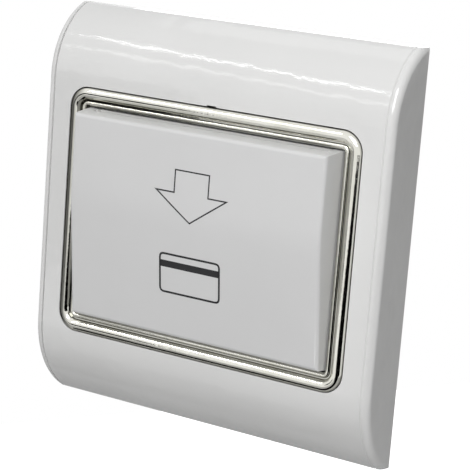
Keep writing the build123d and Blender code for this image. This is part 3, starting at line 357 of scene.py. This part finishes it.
def laminate_board(name, mask):
    """Glass-cloth laminate under solder mask.

    The cloth shows as a check that repeats every 3.1 mm, coarser than a real cloth's 0.5 mm, and copper
    under the mask shows as paler fields about 5 mm wide.
    """
    finish, tree, shader, place = new_finish(
        name, {"IOR": 1.5, "Roughness": 0.35, "Coat Weight": 0.4, "Coat Roughness": 0.15})
    weave = [node(tree, "ShaderNodeTexWave", {"Vector": place, "Scale": 1 / (20 * 0.5 * MM),
                                              "Distortion": 0.4}, bands_direction=way) for way in ("X", "Z")]
    cloth = node(tree, "ShaderNodeMath", {0: weave[0].outputs["Fac"], 1: weave[1].outputs["Fac"]},
                 operation="MULTIPLY")
    ground = node(tree, "ShaderNodeValToRGB", {"Fac": cloth.outputs["Value"]},
                  stops=((0.0, scaled(mask, 0.8)), (1.0, mask)))
    fields = node(tree, "ShaderNodeTexVoronoi", {"Vector": place, "Scale": 1 / (5.08 * MM),
                                                 "Randomness": 0.6}, distance="MANHATTAN", feature="F1")
    copper = node(tree, "ShaderNodeMapRange", {"Value": fields.outputs["Distance"], "From Min": 0.42,
                                               "From Max": 0.46}, interpolation_type="SMOOTHSTEP")
    mixed = node(tree, "ShaderNodeMix", {0: copper.outputs["Result"], 6: ground.outputs["Color"],
                                         7: (*scaled(mask, 1.7), 1)}, data_type="RGBA")
    tree.links.new(mixed.outputs[2], shader["Base Color"])
    relief = node(tree, "ShaderNodeBump", {"Height": cloth.outputs["Value"], "Strength": 0.2,
                                           "Distance": 0.02 * MM})
    tree.links.new(relief.outputs["Normal"], shader["Normal"])
    return finish


def wound_wire(name, base, dark, wire):
    """Enamelled copper wire in layers: fine ridges round the coil, one for each turn of wire, with painted
    shade in the troughs between the turns.
    """
    finish, tree, shader, place = new_finish(name, {"Metallic": 0.6, "Roughness": 0.32, "Coat Weight": 0.5})
    turns = node(tree, "ShaderNodeTexWave", {"Vector": place, "Scale": 1 / (20 * wire) * math.pi * 2,
                                             "Distortion": 0.6, "Detail": 1}, bands_direction="Z")
    # Painted shade: the colour darkens in the troughs between the turns
    tint = node(tree, "ShaderNodeValToRGB", {"Fac": turns.outputs["Fac"]}, stops=((0.1, dark), (0.7, base)))
    tree.links.new(tint.outputs["Color"], shader["Base Color"])
    relief = node(tree, "ShaderNodeBump", {"Height": turns.outputs["Fac"], "Strength": 0.7,
                                           "Distance": wire / 3})
    tree.links.new(relief.outputs["Normal"], shader["Normal"])
    return finish


def put_on(finish, *names):
    """Give CAD nodes a finish by their objects' material slots."""
    for name in names:
        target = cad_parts[name]
        if not target.material_slots:
            target.data.materials.append(finish)
        for slot in target.material_slots:
            slot.link = "OBJECT"
            slot.material = finish


def new_piece(name, grid, finish, body):
    """Turn a bmesh into a named piece that rides on a body."""
    bmesh.ops.recalc_face_normals(grid, faces=grid.faces)
    shape = bpy.data.meshes.new(name)
    grid.to_mesh(shape)
    grid.free()
    shape.materials.append(finish)
    piece = bpy.data.objects.new(name, shape)
    bpy.context.scene.collection.objects.link(piece)
    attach(piece, body)
    return piece


def cover_front(height):
    """Depth of the cover's front face at a height: flat above, a wide bend, then a straight slope."""
    slope = (COVER_TOE - COVER_FLAT) / (COVER_BEND + COVER_LOW_EDGE)
    reach = COVER_RADIUS * math.tan(math.atan(slope) / 2)
    if height > COVER_BEND + reach:
        return COVER_FLAT
    if height > COVER_BEND - reach * math.cos(math.atan(slope)):
        return COVER_FLAT + COVER_RADIUS - math.sqrt(COVER_RADIUS ** 2 - (COVER_BEND + reach - height) ** 2)
    return COVER_FLAT + slope * (COVER_BEND - height)


def stroke(grid, corners, width, film, rounded=0.0):
    """Add a printed closed outline of even width, laid on the cover's front face."""
    corners = [Vector(corner) for corner in corners]
    path = [] if rounded else corners
    for index, corner in enumerate(corners if rounded else ()):
        before = (corners[index - 1] - corner).normalized()
        after = (corners[(index + 1) % len(corners)] - corner).normalized()
        for step in range(CORNER_STEPS + 1):
            t = step / CORNER_STEPS
            path.append(corner + before * rounded * (1 - t) ** 2 + after * rounded * t ** 2)
    fine = []
    for index, start in enumerate(path):
        end = path[(index + 1) % len(path)]
        steps = max(1, int((end - start).length / PRINT_STEP))
        fine += [start.lerp(end, step / steps) for step in range(steps)]
    rows = []
    total = len(fine)
    for index, point in enumerate(fine):
        along_in = (point - fine[index - 1]).normalized()
        along_out = (fine[(index + 1) % total] - point).normalized()
        side_in = Vector((along_in.y, -along_in.x))
        side_out = Vector((along_out.y, -along_out.x))
        mitre = (side_in + side_out).normalized()
        mitre *= width / 2 / max(0.3, mitre.dot(side_in))
        row = []
        for offset, rise in ((-1, -film / 2), (-1, film), (1, film), (1, -film / 2)):
            spot = point + mitre * offset
            row.append(grid.verts.new((spot.x, cover_front(spot.y) - rise, spot.y)))
        rows.append(row)
    for index, row in enumerate(rows):
        following = rows[(index + 1) % total]
        for k in range(4):
            grid.faces.new((row[k], row[(k + 1) % 4], following[(k + 1) % 4], following[k]))


def printed_bar(grid, left, right, low, high, film):
    """Add a printed solid bar, a closed film laid on the cover's front face."""
    loops = []
    for side in (left, right):
        heights = [low + (high - low) * step / 4 for step in range(5)]
        skin = [(side, cover_front(height) - film, height) for height in heights]
        under = [(side, cover_front(height) + film / 2, height) for height in reversed(heights)]
        loops.append([grid.verts.new(spot) for spot in skin + under])
    count = len(loops[0])
    for k in range(count):
        grid.faces.new((loops[0][k], loops[0][(k + 1) % count], loops[1][(k + 1) % count], loops[1][k]))
    grid.faces.new(reversed(loops[0]))
    grid.faces.new(loops[1])


def block(grid, low, high, edge):
    """Add a small bevelled block between two corners."""
    made = bmesh.ops.create_cube(grid, size=1)["verts"]
    low, high = Vector(low), Vector(high)
    size = high - low
    bmesh.ops.transform(grid, verts=made, matrix=Matrix.Translation((low + high) / 2)
                        @ Matrix.Diagonal((*size, 1)))
    edges = {e for v in made for e in v.link_edges}
    bmesh.ops.bevel(grid, geom=list(edges), offset=edge, segments=2, affect="EDGES", profile=0.6)


class SWITCH_OT_camera(bpy.types.Operator):
    """Set the camera at the view of a catalogue photograph."""

    bl_idname = "card_switch.camera"
    bl_label = "Camera"

    def execute(self, context):
        setup = context.scene.card_switch_studio
        lens = bpy.data.cameras.new("catalogue_camera")
        lens.sensor_width = SENSOR_WIDTH
        lens.lens = setup.focal
        lens.clip_start, lens.clip_end = CAMERA_REACH
        view = bpy.data.objects.new("catalogue_camera", lens)
        turn = Matrix((CAMERA_RIGHT, -Vector(CAMERA_DOWN), -Vector(CAMERA_AHEAD))).transposed()
        view.matrix_world = Matrix.Translation(CAMERA_PLACE) @ turn.to_4x4()
        context.scene.collection.objects.link(view)
        context.scene.camera = view
        return {"FINISHED"}


class SWITCH_OT_wall_plate(bpy.types.Operator):
    """Finish the wall plate: the frame and its two cheeks."""

    bl_idname = "card_switch.wall_plate"
    bl_label = "Wall plate"

    def execute(self, context):
        sizes = context.scene.card_switch_plate
        # ABS from a polished mould, white with titanium dioxide: glossy, so lamps show as thin streaks
        finish = moulded("abs_moulded_white", sizes.plate, sizes.grain, 0.10, 0.002 * MM,
                         orange_peel=0.14 * MM)
        put_on(finish, "front_frame", "left_cheek", "right_cheek")
        return {"FINISHED"}


class SWITCH_OT_trim_ring(bpy.types.Operator):
    """Plate the trim ring."""

    bl_idname = "card_switch.trim_ring"
    bl_label = "Trim ring"

    def execute(self, context):
        finish = plated_trim("chromium_plated_abs", context.scene.card_switch_ring, *RING_BOX)
        put_on(finish, "chrome_ring")
        return {"FINISHED"}


class SWITCH_OT_card_cover(bpy.types.Operator):
    """Finish the card cover and the pocket behind it."""

    bl_idname = "card_switch.card_cover"
    bl_label = "Card cover"

    def execute(self, context):
        sizes = context.scene.card_switch_plate
        # Finer mould texture than the plate's, so its highlights are softer
        put_on(moulded("abs_moulded_satin", sizes.cover, sizes.grain * 0.8, 0.42, 0.008 * MM), "card_cover")
        # The pocket is drawn from a deep core: dull, with a coarser grain
        put_on(moulded("abs_moulded_grey", sizes.pocket, sizes.grain, 0.5, 0.01 * MM, 0.4), "card_pocket",
               "pocket_front", "pocket_carrier")
        return {"FINISHED"}


class SWITCH_OT_printed_marks(bpy.types.Operator):
    """Print the outlined arrow and a plain card outline on the cover."""

    bl_idname = "card_switch.printed_marks"
    bl_label = "Printed marks"

    def execute(self, context):
        sizes = context.scene.card_switch_print
        # Pad-printed ink: nearly black, dull, with slightly uneven cover
        ink = moulded("pad_printed_ink", sizes.ink, 0.2 * MM, 0.6, 0.002 * MM, 0.3, 0.25)
        grid = bmesh.new()
        shaft, head = sizes.arrow_shaft / 2, sizes.arrow_head / 2
        stroke(grid, [(-shaft, sizes.arrow_top), (shaft, sizes.arrow_top), (shaft, sizes.arrow_neck),
                      (head, sizes.arrow_neck), (0, sizes.arrow_tip), (-head, sizes.arrow_neck),
                      (-shaft, sizes.arrow_neck)], sizes.arrow_line, sizes.film)
        new_piece("printed_arrow", grid, ink, INSERT)
        grid = bmesh.new()
        half, tall, middle = sizes.card_width / 2, sizes.card_height / 2, -sizes.card_middle
        stroke(grid, [(-half, middle - tall), (half, middle - tall), (half, middle + tall),
                      (-half, middle + tall)], sizes.arrow_line * 1.5, sizes.film, CARD_CORNER)
        printed_bar(grid, -half, half, middle + tall * 0.3, middle + tall * 0.65, sizes.film)
        new_piece("printed_card", grid, ink, INSERT)
        return {"FINISHED"}


class SWITCH_OT_rear_parts(bpy.types.Operator):
    """Finish the mounting plate, the rear housing, the wire clamps and every screw."""

    bl_idname = "card_switch.rear_parts"
    bl_label = "Rear parts"

    def execute(self, context):
        sizes = context.scene.card_switch_plate
        # Flame-retardant polycarbonate: off-white and duller than the front
        put_on(moulded("polycarbonate_moulded", sizes.rear, sizes.grain * 1.6, 0.52, 0.02 * MM, 0.45, 0.06),
               "mounting_plate", "rear_housing")
        # Glass-filled nylon: green with a mottled flow of fibres
        put_on(moulded("nylon_glass_filled", linear("#2F7D4F"), 0.5 * MM, 0.48, 0.02 * MM, 0.4, 0.2),
               "terminal_block")
        # Zinc-plated steel: turned marks and a faint warm tint
        zinc = turned_metal("steel_zinc_plated", linear("#C9C8C2"), linear("#8F8E88"), 0.25 * MM, 0.3)
        put_on(zinc, "housing_screws", "board_screws", "reader_screws",
               *[f"terminal_{kind}_{n}" for kind in ("screw", "cage") for n in (1, 2, 3, 4)])
        # Tinned brass: pale yellow, with soft stamping marks
        brass = turned_metal("brass_tinned", linear("#D8CFA6"), linear("#A89A66"), 0.4 * MM, 0.32)
        put_on(brass, "terminal_bars", "link_pins", "relay_pins")
        return {"FINISHED"}


class SWITCH_OT_reader(bpy.types.Operator):
    """Finish the reader board and add its small parts."""

    bl_idname = "card_switch.reader"
    bl_label = "Reader board"

    def execute(self, context):
        detail = context.scene.card_switch_board
        put_on(laminate_board("laminate_solder_mask", detail.mask), "reader_board", "power_board")
        # Etched copper, tinned over: warm, with short brush marks
        copper = turned_metal("copper_etched", linear("#D9A066"), linear("#B07A45"), 0.3 * MM, 0.3)
        put_on(copper, "antenna_track")
        # Transfer-moulded epoxy: black with a fine sparkle of filler
        epoxy = moulded("epoxy_transfer_moulded", linear("#1B1C1E"), 0.12 * MM, 0.5, 0.01 * MM, 0.4, 0.3)
        put_on(epoxy, "reader_chip", "control_chip", "bridge_rectifier")
        # Clear lamp resin, cloudy from its diffuser
        resin = moulded("resin_diffusing", linear("#DDE6F2"), 0.3 * MM, 0.25, 0.004 * MM, 0.5, 0.1)
        put_on(resin, "locator_lamps")
        header = moulded("nylon_black", linear("#202124"), 0.3 * MM, 0.45, 0.01 * MM, 0.4, 0.2)
        put_on(header, "link_header")
        front = READER_BOX[0][1]
        tin = turned_metal("tin_plated_leads", linear("#D6D6D2"), linear("#9D9D98"), 0.1 * MM, 0.3)
        grid = bmesh.new()
        low, high = Vector(CHIP_BOX[0]), Vector(CHIP_BOX[1])
        pitch = (high.z - low.z) / detail.lead_count
        rise = front - (high.y - low.y) * 0.45
        half_thick, half_wide = LEAD_THICKNESS / 2, detail.lead_width / 2
        for index in range(detail.lead_count):
            z = low.z + pitch * (index + 0.5)
            for edge, way in ((low.x, -1), (high.x, 1)):
                shoulder = edge + way * LEAD_SHOULDER
                # A lead runs out from the chip, turns down and then lies on the board
                for start, end, back, face in (
                        (edge, shoulder, rise - half_thick, rise + half_thick),
                        (shoulder, shoulder + way * LEAD_THICKNESS, rise - half_thick, front),
                        (shoulder, edge + way * detail.lead_reach, front - LEAD_THICKNESS, front)):
                    block(grid, (min(start, end), back, z - half_wide),
                          (max(start, end), face, z + half_wide), LEAD_BEVEL)
        new_piece("chip_leads", grid, tin, ROOT)
        # Ceramic chip parts with tinned ends, in rows either side of the chip
        ceramic = moulded("ceramic_chip_parts", linear("#8A6B4A"), 0.2 * MM, 0.4, 0.004 * MM, 0.5, 0.2)
        bodies, ends = bmesh.new(), bmesh.new()
        span = detail.chip_part
        cap = span * 0.2
        for x, z, upright in PART_PLACES:
            half = (span / 4, span / 2) if upright else (span / 2, span / 4)
            x, z = x * MM, z * MM
            block(bodies, (x - half[0], front - span * 0.32, z - half[1]), (x + half[0], front, z + half[1]),
                  PART_BEVEL)
            for way in (-1, 1):
                near = [x - half[0] * 1.04, z - half[1] * 1.04]
                far = [x + half[0] * 1.04, z + half[1] * 1.04]
                middle = (x, z)[upright]
                near[upright], far[upright] = sorted(
                    (middle + way * half[upright], middle + way * (half[upright] - cap)))
                block(ends, (near[0], front - span * 0.34, near[1]), (far[0], front, far[1]), PART_END_BEVEL)
        new_piece("chip_part_bodies", bodies, ceramic, ROOT)
        new_piece("chip_part_ends", ends, tin, ROOT)
        return {"FINISHED"}


class SWITCH_OT_power_parts(bpy.types.Operator):
    """Finish the relay and the other parts of the power board."""

    bl_idname = "card_switch.power_parts"
    bl_label = "Power board parts"

    def execute(self, context):
        # Moulded polyester relay case: dark blue and glossy
        put_on(moulded("polyester_moulded_blue", linear("#27406F"), 0.4 * MM, 0.3, 0.006 * MM), "relay_base",
               "relay_case")
        put_on(moulded("nylon_natural", linear("#E2DCC8"), 0.4 * MM, 0.45, 0.01 * MM), "relay_bobbin")
        # The coil's second colour is painted shade between the turns of wire
        put_on(wound_wire("copper_wire_enamelled", linear("#B4602C"), linear("#5E2A12"), 0.25 * MM),
               "relay_coil")
        iron = turned_metal("iron_zinc_plated", linear("#B9B8B2"), linear("#7E7D78"), 0.5 * MM, 0.4)
        put_on(iron, "relay_core", "relay_yoke", "relay_armature")
        bronze = turned_metal("bronze_spring_strip", linear("#D3B98C"), linear("#9C8258"), 0.2 * MM, 0.28)
        put_on(bronze, "contact_leaf", "fixed_contacts")
        put_on(moulded("polyester_film_yellow", linear("#D9A62B"), 0.5 * MM, 0.35, 0.01 * MM),
               "line_capacitor")
        put_on(moulded("sleeve_heat_shrunk", linear("#2B3350"), 0.6 * MM, 0.28, 0.004 * MM),
               "filter_capacitors")
        put_on(moulded("epoxy_dipped_blue", linear("#2A63A8"), 1.2 * MM, 0.3, 0.03 * MM), "varistor")
        put_on(moulded("thermoplastic_black", linear("#1E1F22"), 0.4 * MM, 0.35, 0.006 * MM), "line_fuse")
        return {"FINISHED"}


class SWITCH_OT_stage(bpy.types.Operator):
    """Set the floor, the flags, the lamps and the even light."""

    bl_idname = "card_switch.stage"
    bl_label = "Stage"

    def execute(self, context):
        setup = context.scene.card_switch_studio
        floor_level = CAD_BOX[0][2] - setup.floor_drop
        # White sweep paper: dull, with faint fibres; it shows white to the camera
        paper = bpy.data.materials.new("paper_sweep_white")
        paper.use_nodes = True
        tree = paper.node_tree
        tree.nodes.clear()
        place = node(tree, "ShaderNodeTexCoord")
        fibre = node(tree, "ShaderNodeTexNoise", {"Vector": place.outputs["Object"], "Scale": 900,
                                                  "Detail": 3})
        tint = node(tree, "ShaderNodeValToRGB", {"Fac": fibre.outputs["Fac"]},
                    stops=((0.3, linear("#CACACA")), (0.7, linear("#CECECE"))))
        matt = node(tree, "ShaderNodeBsdfDiffuse", {"Color": tint.outputs["Color"]})
        path = node(tree, "ShaderNodeLightPath")
        seen = node(tree, "ShaderNodeMath", {0: path.outputs["Is Camera Ray"],
                                             1: path.outputs["Is Transmission Ray"]}, operation="MAXIMUM")
        lift = node(tree, "ShaderNodeMath", {0: seen.outputs["Value"], 1: setup.floor_lift},
                    operation="MULTIPLY")
        glow = node(tree, "ShaderNodeEmission", {"Strength": lift.outputs["Value"]})
        both = node(tree, "ShaderNodeAddShader", {0: matt.outputs["BSDF"], 1: glow.outputs["Emission"]})
        # From below the sheet is clear, so the object's underside can be seen
        side = node(tree, "ShaderNodeNewGeometry")
        clear = node(tree, "ShaderNodeBsdfTransparent")
        sheet = node(tree, "ShaderNodeMixShader", {0: side.outputs["Backfacing"], 1: both.outputs["Shader"],
                                                   2: clear.outputs["BSDF"]})
        node(tree, "ShaderNodeOutputMaterial", {"Surface": sheet.outputs["Shader"]})
        # Black felt on boards: it swallows light, so the plating shows it as dark lines
        felt = new_finish("felt_black", {"Base Color": (*linear("#0A0A0A"), 1), "Roughness": 1.0,
                                         "Specular IOR Level": 0.0})[0]
        for name, lying, raised in BOARDS:
            finish, rise = (paper, 0.0) if name == "studio_floor" else (felt, FLAG_RISE)
            corners = [(x, y, floor_level + rise) for x, y in lying] + list(raised)
            grid = bmesh.new()
            grid.faces.new([grid.verts.new(corner) for corner in corners])
            shape = bpy.data.meshes.new(name)
            grid.to_mesh(shape)
            grid.free()
            shape.materials.append(finish)
            board = bpy.data.objects.new(name, shape)
            context.scene.collection.objects.link(board)
            if finish is felt:
                board.visible_camera = board.visible_diffuse = board.visible_shadow = False

        for name, power, share, size, at, aim in LAMPS:
            lamp = bpy.data.lights.new(name, "AREA")
            lamp.shape = "RECTANGLE"
            lamp.size, lamp.size_y = size
            lamp.energy = getattr(setup, power) * share
            stand = bpy.data.objects.new(name, lamp)
            stand.rotation_mode = "QUATERNION"
            stand.location = at
            ahead = (Vector(aim) - Vector(at)).normalized()
            if "strip" in name:
                along = Vector(STRIP_LINE)
                along = (along - ahead * along.dot(ahead)).normalized()
                turn = Matrix((along, (-ahead).cross(along), -ahead)).transposed()
                stand.rotation_quaternion = turn.to_quaternion()
            else:
                stand.rotation_quaternion = ahead.to_track_quat("-Z", "Y")
            context.scene.collection.objects.link(stand)

        world = bpy.data.worlds.new("studio_white")
        context.scene.world = world
        world.use_nodes = True
        sky = world.node_tree
        sky.nodes.clear()
        path = node(sky, "ShaderNodeLightPath")
        seen = node(sky, "ShaderNodeMath", {0: path.outputs["Is Camera Ray"],
                                            1: path.outputs["Is Glossy Ray"]}, operation="MAXIMUM")
        seen = node(sky, "ShaderNodeMath", {0: seen.outputs["Value"], 1: path.outputs["Is Transmission Ray"]},
                    operation="MAXIMUM")
        level = node(sky, "ShaderNodeMapRange", {"Value": seen.outputs["Value"], "To Min": setup.sky,
                                                 "To Max": 1.0})
        light = node(sky, "ShaderNodeBackground", {"Color": (1, 1, 1, 1),
                                                   "Strength": level.outputs["Result"]})
        node(sky, "ShaderNodeOutputWorld", {"Surface": light.outputs["Background"]})
        context.scene.view_settings.view_transform = "Standard"
        return {"FINISHED"}


OPERATORS = (SWITCH_OT_camera, SWITCH_OT_wall_plate, SWITCH_OT_trim_ring, SWITCH_OT_card_cover,
             SWITCH_OT_printed_marks, SWITCH_OT_rear_parts, SWITCH_OT_reader, SWITCH_OT_power_parts,
             SWITCH_OT_stage)
GROUPS = (("card_switch_plate", PlateFinish), ("card_switch_ring", RingFinish),
          ("card_switch_print", PrintSizes), ("card_switch_board", BoardDetail),
          ("card_switch_studio", StudioSetup))


class SWITCH_PT_panel(bpy.types.Panel):
    """Sizes, colours and steps of the card switch."""

    bl_label = "Card Switch"
    bl_idname = "SWITCH_PT_panel"
    bl_space_type = "VIEW_3D"
    bl_region_type = "UI"
    bl_category = "Card Switch"

    def draw(self, context):
        for attribute, group in GROUPS:
            box = self.layout.box()
            box.label(text=group.__doc__)
            for field in group.__annotations__:
                box.prop(getattr(context.scene, attribute), field)
        for step in OPERATORS:
            self.layout.operator(step.bl_idname)


def register():
    """Add the settings, the steps and the panel."""
    for _attribute, group in GROUPS:
        bpy.utils.register_class(group)
    for step in OPERATORS:
        bpy.utils.register_class(step)
    bpy.utils.register_class(SWITCH_PT_panel)
    for attribute, group in GROUPS:
        setattr(bpy.types.Scene, attribute, PointerProperty(type=group))


def unregister():
    """Take the settings, the steps and the panel away again."""
    for attribute, _group in GROUPS:
        delattr(bpy.types.Scene, attribute)
    bpy.utils.unregister_class(SWITCH_PT_panel)
    for step in reversed(OPERATORS):
        bpy.utils.unregister_class(step)
    for _attribute, group in reversed(GROUPS):
        bpy.utils.unregister_class(group)


def main():
    """Dress the switch from first to last."""
    register()
    bpy.ops.card_switch.camera()
    bpy.ops.card_switch.wall_plate()
    bpy.ops.card_switch.trim_ring()
    bpy.ops.card_switch.card_cover()
    bpy.ops.card_switch.printed_marks()
    bpy.ops.card_switch.rear_parts()
    bpy.ops.card_switch.reader()
    bpy.ops.card_switch.power_parts()
    bpy.ops.card_switch.stage()


if __name__ == "__main__":
    main()
